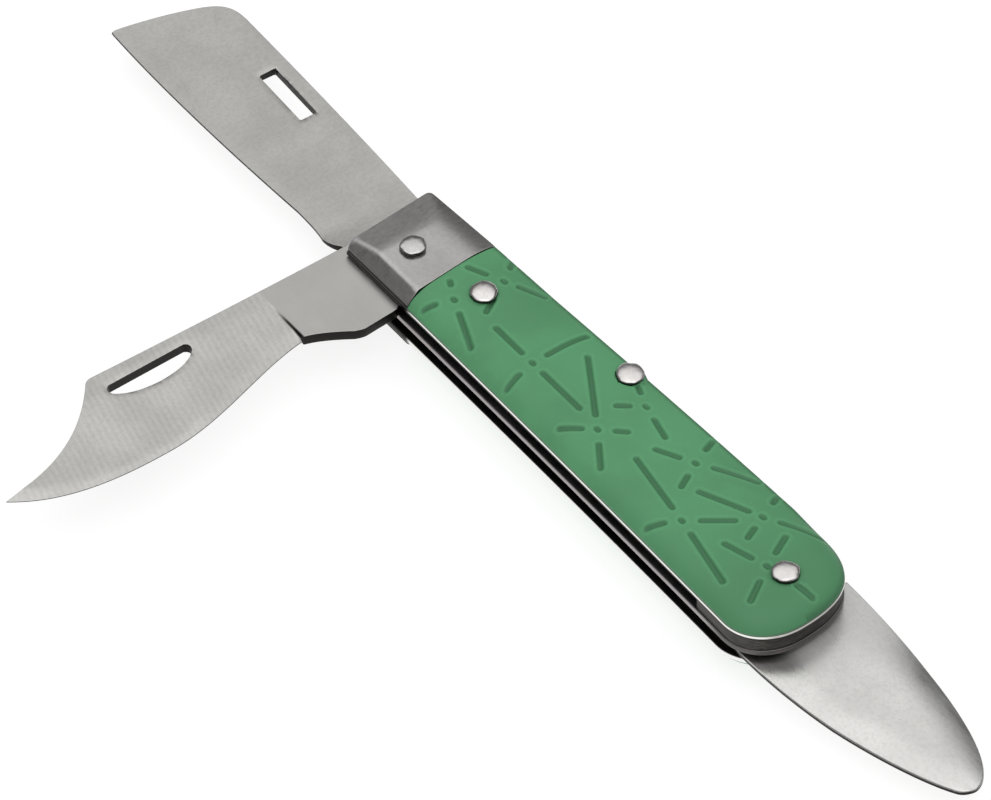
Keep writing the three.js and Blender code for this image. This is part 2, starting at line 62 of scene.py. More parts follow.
LINER_LOW, LINER_HIGH = zip(*(heights(f"liner_{name}") for name in ("bottom", "centre", "top")))
COVER_LOW = LINER_HIGH[2]
TOP_FACE = heights("bolster_top")[1]
SCALE_FACE = heights("scale_top")[1]
HEAD_TOP = heights("pivot_rivet")[1]
SEAT = SCALE_FACE - (HEAD_TOP - heights("spring_rivet")[1])
MIDDLE = (LINER_LOW[0] + LINER_HIGH[2]) / 2
TAIL_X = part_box("liner_top")[1][0] / MM
LIFTER_TOP = heights("bark_lifter")[1]
LIFTER_CLEARANCE = 0.1
LIFTER_THICKNESS = LIFTER_TOP - LINER_HIGH[0] - LIFTER_CLEARANCE


# ---- Plan sizes ----

END_TILT = math.tan(math.radians(4.2))
HEAD_X = -8.5
JOINT_X = 7.6
JOINT_GAP = 0.06
WELL_SIDE = -7.35
WELL_TAIL = (91.0, -8.3)
SPINE_TAIL = (87.0, 14.8)
SPINE_BULGE = (50.0, 14.0)
SPINE_HEAD = (-11.5, 10.3)
TAIL_MIDDLE_Y = 1.0
COVER_INSET = 0.1
LOWER_SCALE_INSET = 0.4
LOWER_TAIL_ROUNDER = 1.5
SPRING_INSET = 0.2
SPINE_HEAD_CORNER = (HEAD_X - 0.7, 10.4)
WELL_HEAD_CORNER = (HEAD_X + 0.5, WELL_SIDE)

PIVOT = (0.0, 0.0)
FRONT_PIN = (14.9, 2.9)
SPRING_RIVET = (42.6, 10.9)
TAIL_RIVET = (90.9, 4.2)
PIVOT_HEAD = 2.15
PIN_HEAD = 2.3
PIVOT_SHANK = 1.5
PIN_SHANK = 1.25
HOLE_CLEARANCE = 0.1
SPACER_RADIUS = 2.6
SEAT_RADIUS = 2.4
SEAT_SKIRT_SLOPE = 2.0

TANG_RADIUS = 5.0
TANG_FLAT = 4.7
SHOULDER_X = -3.3
PLUNGE_X = -23.3
PLUNGE_RUN = 0.35


# ---- Plan curves ----

def curve(*points, steps=24):
    """Points along a Bezier curve of any degree, in millimetres."""
    controls = np.array(points, float)
    t = np.linspace(0, 1, steps + 1)[:, None]
    degree = len(controls) - 1
    weights = [math.comb(degree, i) * t ** i * (1 - t) ** (degree - i) for i in range(degree + 1)]
    return sum(w * c for w, c in zip(weights, controls))


def line(a, b, spacing=1.0):
    """Points along a straight stretch."""
    steps = max(1, math.ceil(math.dist(a, b) / spacing))
    return curve(a, b, steps=steps)


def arc(centre, radius, start, end, steps=12):
    """Points along a circular arc between two angles in degrees."""
    angles = np.radians(np.linspace(start, end, steps + 1))
    return np.array(centre) + radius * np.stack([np.cos(angles), np.sin(angles)], axis=1)


def circle(centre, radius, steps=40):
    """Points round a full circle."""
    return arc(centre, radius, 0, 360, steps)[:-1]


def joined(*stretches):
    """One closed loop from stretches laid end to end, turned counter-clockwise."""
    loop = np.concatenate(stretches)
    gap = np.linalg.norm(loop - np.roll(loop, 1, axis=0), axis=1)
    loop = loop[gap > 1e-3]
    ahead = np.roll(loop, -1, axis=0)
    area = np.sum(loop[:, 0] * ahead[:, 1] - ahead[:, 0] * loop[:, 1])
    return loop if area > 0 else loop[::-1]


def clipped(loop, x, side):
    """The part of a loop on one side of the tilted line through (x, 0)."""
    kept = []
    level = side * (loop[:, 0] + END_TILT * loop[:, 1] - x)
    for i in range(len(loop)):
        a, b = loop[i - 1], loop[i]
        if level[i - 1] * level[i] < 0:
            kept.append(a + (b - a) * level[i - 1] / (level[i - 1] - level[i]))
        if level[i] >= 0:
            kept.append(b)
    return joined(np.array(kept))


def rounded(loop, corner, radius):
    """The loop with its corner nearest to the given point rounded off."""
    at = int(np.argmin(np.linalg.norm(loop - np.array(corner), axis=1)))
    loop = np.roll(loop, -at, axis=0)
    tip = loop[0]
    ahead = loop[1:]
    ahead = ahead[np.linalg.norm(ahead - tip, axis=1) > radius]

    def toward(point):
        return tip + (point - tip) * radius / np.linalg.norm(point - tip)

    return joined(ahead, curve(toward(ahead[-1]), tip, toward(ahead[0]), steps=8))


def handle_loop(inset=0.0, rounder=0.0):
    """The handle's outline, running past the head.

    The inset moves it inwards. Rounder starts the tail's well-side corner that much earlier.
    """
    well = WELL_SIDE + inset
    tail = TAIL_X - inset
    well_tail = (WELL_TAIL[0] - rounder, WELL_TAIL[1] + inset)
    spine_tail = (SPINE_TAIL[0], SPINE_TAIL[1] - inset)
    spine_head = (SPINE_HEAD[0], SPINE_HEAD[1] - inset)
    return joined(
        curve((SPINE_HEAD[0], well), (45, well), well_tail, steps=100),
        curve(
            well_tail, (96 - rounder, well_tail[1] - 0.1), (tail, rounder - 4.1),
            (tail, TAIL_MIDDLE_Y), steps=24,
        ),
        curve(
            (tail, TAIL_MIDDLE_Y), (tail, 9.6), (96.5, spine_tail[1] + 0.1),
            spine_tail, steps=30,
        ),
        curve(spine_tail, (SPINE_BULGE[0], SPINE_BULGE[1] - inset), spine_head, steps=100),
        line(spine_head, (SPINE_HEAD[0], well)),
    )


def divided(loop, spacing):
    """The loop with extra points wherever two neighbours are further apart than the spacing."""
    return joined(*(line(a, b, spacing) for a, b in zip(loop, np.roll(loop, -1, axis=0))))


# ---- Solids between two height fields ----

RIM_SPACING = 0.6


def distance_to(points, path, closed=True):
    """Distance from each point to a path of straight stretches."""
    starts = path if closed else path[:-1]
    ends = np.roll(path, -1, axis=0) if closed else path[1:]
    best = np.full(len(points), np.inf)
    for a, b in zip(starts, ends):
        side = b - a
        along = np.clip(((points - a) @ side) / max(side @ side, 1e-12), 0, 1)
        best = np.minimum(best, np.linalg.norm(points - a - along[:, None] * side, axis=1))
    return best


def inside(points, loop):
    """Which points lie inside a loop."""
    result = np.zeros(len(points), bool)
    x, y = points[:, 0], points[:, 1]
    for (ax, ay), (bx, by) in zip(loop, np.roll(loop, -1, axis=0)):
        if ay != by:
            crosses = (ay > y) != (by > y)
            result ^= crosses & (x < ax + (bx - ax) * (y - ay) / (by - ay))
    return result


def filled(loops, points):
    """Triangles that fill the first loop around the others, through the given points."""
    corners = np.concatenate([*loops, points]) if len(points) else np.concatenate(loops)
    edges = []
    first = 0
    for loop in loops:
        count = len(loop)
        edges += [(first + i, first + (i + 1) % count) for i in range(count)]
        first += count
    flat = [Vector(map(float, c)) for c in corners]
    made = geometry.delaunay_2d_cdt(flat, edges, [], 1, 1e-6, False)
    spots = np.array([tuple(v) for v in made[0]])
    faces = np.array(made[2])
    centres = spots[faces].mean(axis=1)
    keep = inside(centres, loops[0])
    for hole in loops[1:]:
        keep &= ~inside(centres, hole)
    return spots, faces[keep]


def rim_of(faces):
    """The edges that only one triangle has, each in its triangle's direction."""
    seen = {}
    for face in faces.tolist():
        for a, b in zip(face, face[1:] + face[:1]):
            if (b, a) in seen:
                del seen[(b, a)]
            else:
                seen[(a, b)] = True
    return list(seen)


def offset_points(loop, depth):
    """Points at a depth inside a loop, dropped where the shape is too narrow for them."""
    run = np.roll(loop, -1, axis=0) - np.roll(loop, 1, axis=0)
    normal = np.stack([-run[:, 1], run[:, 0]], axis=1) / np.linalg.norm(run, axis=1)[:, None]
    points = loop + depth * normal
    near = distance_to(points, loop)
    return points[(near > 0.9 * depth) & inside(points, loop)]


def fill_points(loops, rings, spacing, extra, clear):
    """Rings of points along the outer loop, the extra points, then an even grid between them."""
    outer = loops[0]
    sets = [offset_points(outer, depth) for depth in rings]
    low, high = outer.min(axis=0), outer.max(axis=0)
    grid = np.stack(np.meshgrid(
        np.arange(low[0] + spacing / 2, high[0], spacing),
        np.arange(low[1] + spacing / 2, high[1], spacing),
    ), axis=-1).reshape(-1, 2)
    grid = grid[inside(grid, outer)]
    grid = grid[distance_to(grid, outer) > rings[-1] + spacing / 2]
    if len(extra):
        extra = extra[inside(extra, outer)]
        extra = extra[distance_to(extra, outer) > 0.1]
        grid = grid[clear(grid)]
        sets.append(extra)
    points = np.concatenate([*sets, grid])
    for hole in loops[1:]:
        points = points[~inside(points, hole)]
        points = points[distance_to(points, hole) > 0.05]
    return points


def spin(points, degrees):
    """Points turned about the pivot's axis."""
    angle = math.radians(degrees)
    c, s = math.cos(angle), math.sin(angle)
    turned = points.copy()
    turned[:, 0] = c * points[:, 0] - s * points[:, 1]
    turned[:, 1] = s * points[:, 0] + c * points[:, 1]
    return turned


def finished(name, vertices, faces, node, body, material, turn=0, sharp=38, groove=None):
    """A Blender mesh from millimetre vertices, which stands for a CAD node."""
    mesh = bpy.data.meshes.new(name)
    mesh.from_pydata((spin(np.asarray(vertices, float), turn) * MM).tolist(), [], faces)
    work = bmesh.new()
    work.from_mesh(mesh)
    bmesh.ops.recalc_face_normals(work, faces=work.faces)
    for edge in work.edges:
        edge.smooth = len(edge.link_faces) == 2 and edge.calc_face_angle() < math.radians(sharp)
    for face in work.faces:
        face.smooth = True
    work.to_mesh(mesh)
    work.free()
    # The groove attribute carries painted shade, and painted highlight on groove lips, for the
    # materials.
    if groove is not None:
        mesh.attributes.new("groove", "FLOAT", "POINT").data.foreach_set("value", groove)
    piece = bpy.data.objects.new(name, mesh)
    bpy.context.scene.collection.objects.link(piece)
    mesh.materials.append(material)
    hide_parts(node)
    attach(piece, body)
    return piece


def slab(loops, top, bottom, rings, spacing, extra=(), clear=None, plain_bottom=False):
    """Vertices and faces of the closed solid between two heights over a plan with holes.

    Rings are depths of rows of points inside the rim, extra is points of their own, and clear
    tells which points of the even grid stay where there are extra ones.
    """
    loops = [divided(loop, RIM_SPACING) for loop in loops]
    extra = np.asarray(extra, float).reshape(-1, 2)
    spots, upper = filled(loops, fill_points(loops, rings, spacing, extra, clear))
    depth = np.minimum.reduce([distance_to(spots, loop) for loop in loops])
    high = np.column_stack([spots, top(spots[:, 0], spots[:, 1], depth)])
    if plain_bottom:
        under, lower = filled(loops, np.zeros((0, 2)))
        under_depth = np.zeros(len(under))
    else:
        under, lower, under_depth = spots, upper, depth
    low = np.column_stack([under, bottom(under[:, 0], under[:, 1], under_depth)])
    first_low = len(high)
    place = {tuple(np.round(p, 5)): i for i, p in enumerate(under)}
    below = {i: first_low + place[tuple(np.round(spots[i], 5))] for e in rim_of(upper) for i in e}
    faces = upper.tolist()
    faces += (first_low + lower[:, ::-1]).tolist()
    faces += [[a, below[a], below[b], b] for a, b in rim_of(upper)]
    vertices = np.concatenate([high, low])
    used = np.unique(np.concatenate([np.ravel(f) for f in faces]))
    number = {old: new for new, old in enumerate(used.tolist())}
    return vertices[used], [[number[i] for i in face] for face in faces]


def mirrored(solid):
    """The same solid seen in a level mirror through the middle of the handle."""
    vertices, faces = solid
    copy = vertices.copy()
    copy[:, 2] = 2 * MIDDLE - copy[:, 2]
    return copy, [face[::-1] for face in faces]


def fillet(depth, radius):
    """How far a rounded edge lies below the face at a distance in from the rim."""
    inward = np.clip(radius - depth, 0, radius)
    return radius - np.sqrt(radius ** 2 - inward ** 2)


def fillet_rings(radius):
    """Depths of the rings of points that a rounded edge needs."""
    return tuple(radius * f for f in (0.06, 0.25, 0.55, 1.0, 1.25))


def plate(loops, low, high, radius, spacing=2.0):
    """A flat plate with slightly rounded edges."""
    return slab(
        loops,
        lambda x, y, d: high - fillet(d, radius),
        lambda x, y, d: low + fillet(d, radius),
        rings=fillet_rings(radius),
        spacing=spacing,
    )


def turned(place, profile, dents, seed, segments=48):
    """A solid of revolution about an upright axis; dents is the depth of the hammer marks."""
    vertices = []
    for radius, z in profile:
        for j in range(segments if radius > 0 else 1):
            angle = 2 * math.pi * j / segments
            x, y = radius * math.cos(angle), radius * math.sin(angle)
            shift = dents * noise.noise(Vector((x * 1.1 + seed, y * 1.1, z * 1.1)))
            grow = 1 + shift / max(radius, 0.4)
            vertices.append((place[0] + x * grow, place[1] + y * grow, z))
    rows = []
    first = 0
    for radius, _ in profile:
        count = segments if radius > 0 else 1
        rows.append([first + (j % count) for j in range(segments + 1)])
        first += count
    faces = []
    for a, b in zip(rows, rows[1:]):
        for j in range(segments):
            face = [a[j], a[j + 1], b[j + 1], b[j]]
            faces.append(list(dict.fromkeys(face)))
    return vertices, faces


# ---- Materials ----

# Near-black painted shade, put on upright steel faces and along the plunge line.
PAINTED_SHADE = (0.02, 0.019, 0.018)
SATIN_METALLIC = 0.4
FACE_NOISE = (90, 90, 90)
SPECK_NOISE = (1700, 1700, 1700)
NOISE_ROUGHNESS = 0.55
STEEL_GRAIN_DEPTH = 0.001
PLASTIC_GRAIN_DEPTH = 0.02

# Places of the two colours and of the result among a Mix node's sockets.
MIX_COLOURS = (6, 7)
MIX_RESULT = 2


def node_material(name):
    """A new material with its node tree and its principled shader."""
    made = bpy.data.materials.new(name)
    made.use_nodes = True
    tree = made.node_tree
    shader = tree.nodes["Principled BSDF"]
    return made, tree, shader


def add(tree, kind, **values):
    """A node with its inputs set by name."""
    node = tree.nodes.new(kind)
    for key, value in values.items():
        if key in node.inputs:
            node.inputs[key].default_value = value
        else:
            setattr(node, key, value)
    return node


def stretched_noise(tree, scale, detail):
    """Noise in the knife's own space; scale is waves per metre along each axis."""
    where = add(tree, "ShaderNodeTexCoord")
    fit = add(tree, "ShaderNodeMapping", Scale=scale)
    tree.links.new(where.outputs["Object"], fit.inputs["Vector"])
    waves = add(
        tree, "ShaderNodeTexNoise", Scale=1.0, Detail=detail, Roughness=NOISE_ROUGHNESS,
    )
    tree.links.new(fit.outputs["Vector"], waves.inputs["Vector"])
    return waves.outputs["Fac"]


def remap(tree, value, low, high, to_low, to_high):
    """A value carried from one span to another and held there."""
    change = add(tree, "ShaderNodeMapRange")
    change.interpolation_type = "SMOOTHSTEP"
    span = {"From Min": low, "From Max": high, "To Min": to_low, "To Max": to_high}
    for key, number in span.items():
        change.inputs[key].default_value = number
    tree.links.new(value, change.inputs["Value"])
    return change.outputs["Result"]


def math_node(tree, operation, a, b):
    """The result of a sum on two values, each a number or an output."""
    node = add(tree, "ShaderNodeMath", operation=operation)
    for slot, value in enumerate((a, b)):
        if isinstance(value, (int, float)):
            node.inputs[slot].default_value = value
        else:
            tree.links.new(value, node.inputs[slot])
    return node.outputs["Value"]


def blend_colour(tree, factor, a, b):
    """Colour a where the factor is 0 and b where it is 1."""
    mix = add(tree, "ShaderNodeMix", data_type="RGBA")
    tree.links.new(factor, mix.inputs["Factor"])
    for slot, colour in zip(MIX_COLOURS, (a, b)):
        if isinstance(colour, tuple):
            mix.inputs[slot].default_value = (*colour, 1)
        else:
            tree.links.new(colour, mix.inputs[slot])
    return mix.outputs[MIX_RESULT]


def upright(tree, level_from):
    """1 on faces that stand upright, 0 where the normal's rise passes the given share."""
    where = add(tree, "ShaderNodeTexCoord")
    split = add(tree, "ShaderNodeSeparateXYZ")
    tree.links.new(where.outputs["Normal"], split.inputs["Vector"])
    level = math_node(tree, "ABSOLUTE", split.outputs["Z"], 0)
    return remap(tree, level, 0.25 * level_from, level_from, 1.0, 0.0)


def shade(colour, factor):
    """The colour, lighter or darker by a factor."""
    return tuple(channel * factor for channel in colour)


def beyond(tree, axis, start, end):
    """0 below a place along an axis and 1 past it, from two places in millimetres."""
    where = add(tree, "ShaderNodeTexCoord")
    split = add(tree, "ShaderNodeSeparateXYZ")
    tree.links.new(where.outputs["Object"], split.inputs["Vector"])
    return remap(tree, split.outputs[axis], start * MM, end * MM, 0.0, 1.0)


def rippled(tree, colours, period, angle, strength):
    """The colours with even grinding marks across them, in millimetres and degrees."""
    where = add(tree, "ShaderNodeTexCoord")
    turned_to = add(tree, "ShaderNodeVectorRotate", rotation_type="Z_AXIS")
    turned_to.inputs["Angle"].default_value = math.radians(angle)
    tree.links.new(where.outputs["Object"], turned_to.inputs["Vector"])
    bands = add(tree, "ShaderNodeTexWave", bands_direction="Y")
    bands.inputs["Scale"].default_value = math.pi / 10 / (period * MM)
    bands.inputs["Distortion"].default_value = 1.2
    bands.inputs["Detail"].default_value = 2.0
    bands.inputs["Detail Scale"].default_value = 0.4
    tree.links.new(turned_to.outputs["Vector"], bands.inputs["Vector"])
    share = remap(tree, bands.outputs["Fac"], 0.0, 1.0, 0.0, strength)
    return blend_colour(tree, share, colours, (0.1, 0.1, 0.1))


def steel(name, colour, roughness, grain, wall=None, streak=0.06, rim_highlight=None, ripple=None,
          ground_past=None, level_from=0.6, tail_wall=None, satin=None):
    """Ground steel: streaks along the grinding direction, soft stains, and a wall colour
    that is mostly painted shade.

    wall is the colour of upright faces, in most finishes a painted shade, tail_wall a painted
    shade on them at the tail, and rim_highlight a colour and the height above which they have it
    past the joint, a painted highlight along the polished rim. ripple is the grinding marks,
    ground_past the place where a smoother grind begins, with painted shade along the plunge line,
    and satin the two stretches over which the metal is dulled.
    """
    made, tree, shader = node_material(name)
    fine = stretched_noise(tree, grain, detail=5.0)
    wide = stretched_noise(tree, FACE_NOISE, detail=3.0)
    specks = stretched_noise(tree, SPECK_NOISE, detail=2.0)
    light_streaks = remap(tree, fine, 0.3, 0.7, 0.0, 1.0)
    stained = remap(tree, wide, 0.35, 0.65, 0.0, 0.12)
    speckled = remap(tree, specks, 0.42, 0.68, 0.0, 0.3)
    face = blend_colour(tree, light_streaks, shade(colour, 1 - streak), shade(colour, 1 + streak))
    face = blend_colour(tree, stained, face, shade(colour, 0.55))
    face = blend_colour(tree, speckled, face, shade(colour, 0.72))
    if ripple:
        face = rippled(tree, face, *ripple)
    if ground_past:
        smooth = beyond(tree, "Y", ground_past - 0.2, ground_past + 0.2)
        face = blend_colour(tree, smooth, face, shade(colour, 0.86))
        # Painted shade along the plunge line, from the groove attribute.
        cut = add(tree, "ShaderNodeAttribute", attribute_name="groove")
        face = blend_colour(tree, cut.outputs["Fac"], face, PAINTED_SHADE)
    # Upright faces get the wall colour: mostly painted shade, a painted shade at the tail where
    # tail_wall is given, and a painted highlight along the rim above a height past the joint.
    if wall:
        edge = wall
        if tail_wall:
            edge = blend_colour(tree, beyond(tree, "X", 85, 91), wall, tail_wall)
        if rim_highlight:
            bright, height = rim_highlight
            painted_rim = math_node(
                tree, "MULTIPLY", beyond(tree, "Z", height - 0.06, height + 0.06),
                beyond(tree, "X", JOINT_X, JOINT_X + 1.5),
            )
            edge = blend_colour(tree, painted_rim, wall, bright)
        face = blend_colour(tree, upright(tree, level_from), face, edge)
    tree.links.new(face, shader.inputs["Base Color"])
    if satin:
        along, across = satin
        dulled = math_node(tree, "MULTIPLY", beyond(tree, "X", *along), beyond(tree, "Y", *across))
        metallic = remap(tree, dulled, 0.0, 1.0, 1.0, SATIN_METALLIC)
        tree.links.new(metallic, shader.inputs["Metallic"])
    else:
        shader.inputs["Metallic"].default_value = 1.0
    worn = math_node(tree, "ADD", remap(tree, wide, 0.3, 0.7, -0.04, 0.04), roughness)
    worn = math_node(tree, "ADD", worn, remap(tree, fine, 0.3, 0.7, -0.03, 0.03))
    tree.links.new(worn, shader.inputs["Roughness"])
    bump = add(tree, "ShaderNodeBump", Strength=1.0, Distance=STEEL_GRAIN_DEPTH * MM)
    tree.links.new(fine, bump.inputs["Height"])
    tree.links.new(bump.outputs["Normal"], shader.inputs["Normal"])
    return made


def moulded_green():
    """Spark-eroded moulded plastic: painted shade in grooves, painted highlight on their lips."""
    made, tree, shader = node_material("green_plastic")
    colour = (0.096, 0.312, 0.144)
    wide = stretched_noise(tree, (60, 60, 60), detail=4.0)
    fine = stretched_noise(tree, (2600, 2600, 2600), detail=3.0)
    groove = add(tree, "ShaderNodeAttribute", attribute_name="groove").outputs["Fac"]
    cloudy = remap(tree, wide, 0.3, 0.7, 0.0, 1.0)
    speckled = remap(tree, fine, 0.55, 0.8, 0.0, 0.25)
    # From the groove attribute: painted highlight on the groove lips, painted shade in the grooves
    # and along the spine's rim.
    lip = remap(tree, groove, -1.0, 0.0, 0.22, 0.0)
    face = blend_colour(tree, cloudy, shade(colour, 0.9), shade(colour, 1.08))
    face = blend_colour(tree, speckled, face, shade(colour, 1.35))
    # Painted shade towards the tail.
    face = blend_colour(tree, beyond(tree, "X", 70, 98), face, shade(colour, 0.8))
    face = blend_colour(tree, lip, face, shade(colour, 1.5))
    face = blend_colour(tree, groove, face, shade(colour, 0.55))
    tree.links.new(face, shader.inputs["Base Color"])
    tree.links.new(remap(tree, wide, 0.3, 0.7, 0.5, 0.62), shader.inputs["Roughness"])
    shader.inputs["Specular IOR Level"].default_value = 0.35
    bump = add(tree, "ShaderNodeBump", Strength=0.6, Distance=PLASTIC_GRAIN_DEPTH * MM)
    tree.links.new(fine, bump.inputs["Height"])
    tree.links.new(bump.outputs["Normal"], shader.inputs["Normal"])
    return made


GREEN = moulded_green()
# In the steels below, a near-black wall colour paints the upright faces with shade.
BOLSTER = steel(
    "bolster_steel", (0.44, 0.428, 0.42), 0.33, (1800, 600, 500), wall=PAINTED_SHADE, streak=0.04,
)
# Centre liner and spacer: dark faces are painted shade in the wells; upright faces are lighter,
# with painted shade on them at the tail.
LINER = steel(
    "liner_steel", (0.16, 0.15, 0.15), 0.4, (400, 400, 5000), wall=(0.36, 0.33, 0.335),
    tail_wall=(0.13, 0.12, 0.12),
)
# Bottom liner: near-black faces and upright faces ahead of the joint are painted shade; past the
# joint its upright faces carry a near-white painted highlight.
LINER_OUTER = steel(
    "outer_liner_steel", (0.05, 0.048, 0.047), 0.36, (400, 400, 5000), wall=PAINTED_SHADE,
    rim_highlight=((0.9, 0.9, 0.88), 0.0), level_from=0.95,
)
# Top liner: dark faces are painted shade in the wells; upright faces are painted shade, with a
# bright painted highlight on their upper part past the joint.
LINER_UPPER = steel(
    "upper_liner_steel", (0.16, 0.15, 0.15), 0.36, (400, 400, 5000), wall=PAINTED_SHADE,
    rim_highlight=((0.88, 0.88, 0.84), LINER_HIGH[2] - 0.55),
)
# Springs: very dark, as painted shade of the wells that they sit in.
SPRING = steel("spring_steel", (0.065, 0.06, 0.056), 0.42, (500, 500, 7000), streak=0.6)
GRAFTING = steel(
    "grafting_blade_steel", (0.485, 0.48, 0.461), 0.42, (1500, 700, 400), wall=PAINTED_SHADE,
    streak=0.05,
)
PRUNING = steel(
    "pruning_blade_steel", (0.53, 0.525, 0.506), 0.4, (260, 2600, 400), wall=PAINTED_SHADE,
    streak=0.05, ripple=(1.1, 13, 0.08), ground_past=PLUNGE_X,
)
LIFTER = steel(
    "lifter_steel", (0.62, 0.615, 0.6), 0.3, (260, 1500, 260), wall=PAINTED_SHADE, streak=0.03,
    satin=((116, 98), (-5, 3)),
)
# Rivet heads: the dark wall colour on the steep sides under the domes is painted shade.
RIVET = steel(
    "rivet_steel", (0.66, 0.635, 0.625), 0.28, (900, 900, 900), wall=(0.05, 0.047, 0.045),
    streak=0.05, level_from=0.8,
)
PIVOT_RIVET = steel(
    "pivot_rivet_steel", (0.53, 0.515, 0.505), 0.28, (900, 900, 900), wall=(0.05, 0.047, 0.045),
    streak=0.05, level_from=0.8,
)

# ---- Crowned covers ----

BOLSTER_EDGE = 0.55
BOLSTER_FILLET = 0.12
BOLSTER_FACET_SLOPE = math.tan(math.radians(44))
BOLSTER_SPINE_EDGE = 1.65
BOLSTER_SPINE_RUN = 7.0
BOLSTER_SPINE_POWER = 2.2
BOLSTER_TURN_Y = 2.0
HEAD_SLOPE_START_X = -2.2
HEAD_SLOPE = math.tan(math.radians(9))
SCALE_EDGE = 0.4
SCALE_FILLET = 0.1
SCALE_SPINE_EDGE = 1.1
SCALE_JOINT_EDGE = 1.5
SCALE_JOINT_RUN = 14.0
SCALE_CROWN_RUN = 8.0
SCALE_WELL_POWER = 4.2
SCALE_SPINE_POWER = 2.2
CROWN_TURN_Y = 4.0
CROWN_TAIL_X = 86.0
CROWN_TAIL_RUN = 6.0


def soft_min(a, b, k):
    """The lower of two heights, with the corner between them rounded over about k."""
    h = np.clip(0.5 + 0.5 * (b - a) / k, 0, 1)
    return b * (1 - h) + a * h - k * h * (1 - h)


def bolster_top(outline):
    """Height of the bolster: a facet on the well side, a rounded spine side, a sloping head."""
    rise = TOP_FACE - COVER_LOW

    def height(x, y, d):
        away = distance_to(np.column_stack([x, y]), outline)
        well_side = y < BOLSTER_TURN_Y
        facet = np.where(well_side, BOLSTER_EDGE + away * BOLSTER_FACET_SLOPE, 2 * rise)
        inward = 1 - np.clip(away / BOLSTER_SPINE_RUN, 0, 1)
        fall = (rise - BOLSTER_SPINE_EDGE) * inward ** BOLSTER_SPINE_POWER
        crown = rise - np.where(well_side, 0, fall)
        slope = rise - np.clip(HEAD_SLOPE_START_X - x, 0, None) * HEAD_SLOPE
        full = soft_min(soft_min(facet, crown, 0.15), slope, 0.3)
        return COVER_LOW + np.minimum(full, rise) - fillet(d, BOLSTER_FILLET)
    return height


def bolster():
    """The upper bolster's solid."""
    whole = handle_loop(COVER_INSET)
    plan = clipped(clipped(whole, HEAD_X, 1), JOINT_X, -1)
    plan = rounded(plan, SPINE_HEAD_CORNER, 1.1)
    plan = rounded(plan, WELL_HEAD_CORNER, 0.5)
    return slab(
        [plan],
        bolster_top(whole),
        lambda x, y, d: np.full_like(x, COVER_LOW),
        rings=(*fillet_rings(BOLSTER_FILLET), 0.3, 0.5, 0.8),
        spacing=0.35,
        plain_bottom=True,
    )


GROOVE_HALF_WIDTH = 0.66
GROOVE_FLOOR = 0.12
GROOVE_DEPTH = 0.4
GROOVE_LIP = 0.06
GROOVE_SPACING = 0.28
LIP_DISTANCE = GROOVE_HALF_WIDTH + 0.18

# Each star is a dot with short grooves around it: centre, then (angle, start, length) of each ray.
STARS = (
    ((31.5, 0.0), ((180, 2.8, 6.7), (90, 2.9, 8.0), (-78, 3.2, 3.1), (0, 2.7, 9.5))),
    ((49.0, -0.5), ((148, 3.1, 12.7), (228, 2.5, 3.5), (46, 2.9, 1.9), (-34, 3.2, 4.7))),
    ((72.3, -1.8), ((171, 3.1, 11.7), (240, 2.8, 2.8), (53, 3.0, 5.3), (-11, 3.1, 10.9))),
    ((49.7, 8.7), ((232, 2.7, 2.0), (-14, 3.1, 4.2), (158, 3.4, 1.4))),
    ((64.0, 7.4), ((208, 2.8, 4.1), (35, 3.0, 7.3), (116, 3.6, 2.6), (-62, 3.0, 2.5))),
    ((79.3, 8.8), ((205, 2.5, 8.7), (32, 3.0, 7.2), (-66, 2.8, 2.2), (118, 3.9, 1.6))),
    ((87.9, 2.9), ((197, 3.0, 5.1), (117, 3.2, 3.6), (-58, 3.4, 4.2), (12, 6.1, 3.0))),
    ((13.0, -1.6), ((-22, 3.1, 7.1), (-113, 3.1, 1.9), (152, 3.3, 0.8))),
    ((14.5, 7.3), ((206, 3.3, 3.2), (30, 2.6, 4.4), (128, 3.6, 1.9), (-60, 4.5, 2.9))),
)


def groove_lines():
    """Both ends of every groove in the pattern, a dot being a very short one."""
    grooves = []
    for centre, rays in STARS:
        middle = np.array(centre)
        grooves.append((middle - (0.2, 0), middle + (0.2, 0)))
        for angle, start, length in rays:
            way = np.array((math.cos(math.radians(angle)), math.sin(math.radians(angle))))
            grooves.append((middle + way * start, middle + way * (start + length)))
    return grooves


def capsule(a, b, radius):
    """Points round a groove at a distance from its middle line."""
    way = (b - a) / np.linalg.norm(b - a)
    angle = math.degrees(math.atan2(way[1], way[0]))
    side = np.array((-way[1], way[0])) * radius
    around = max(4, round(math.pi * radius / GROOVE_SPACING))
    return joined(
        line(a - side, b - side, GROOVE_SPACING),
        arc(b, radius, angle - 90, angle + 90, around),
        line(b + side, a + side, GROOVE_SPACING),
        arc(a, radius, angle + 90, angle + 270, around),
    )


def groove_share(points, grooves):
    """1 at the bottom of a groove, 0 outside, and the distance to the nearest groove's middle."""
    away = np.full(len(points), np.inf)
    for a, b in grooves:
        away = np.minimum(away, distance_to(points, np.array([a, b]), closed=False))
    wall = np.clip((away - GROOVE_FLOOR) / (GROOVE_HALF_WIDTH - GROOVE_FLOOR), 0, 1)
    return 1 - wall * wall * (3 - 2 * wall), away


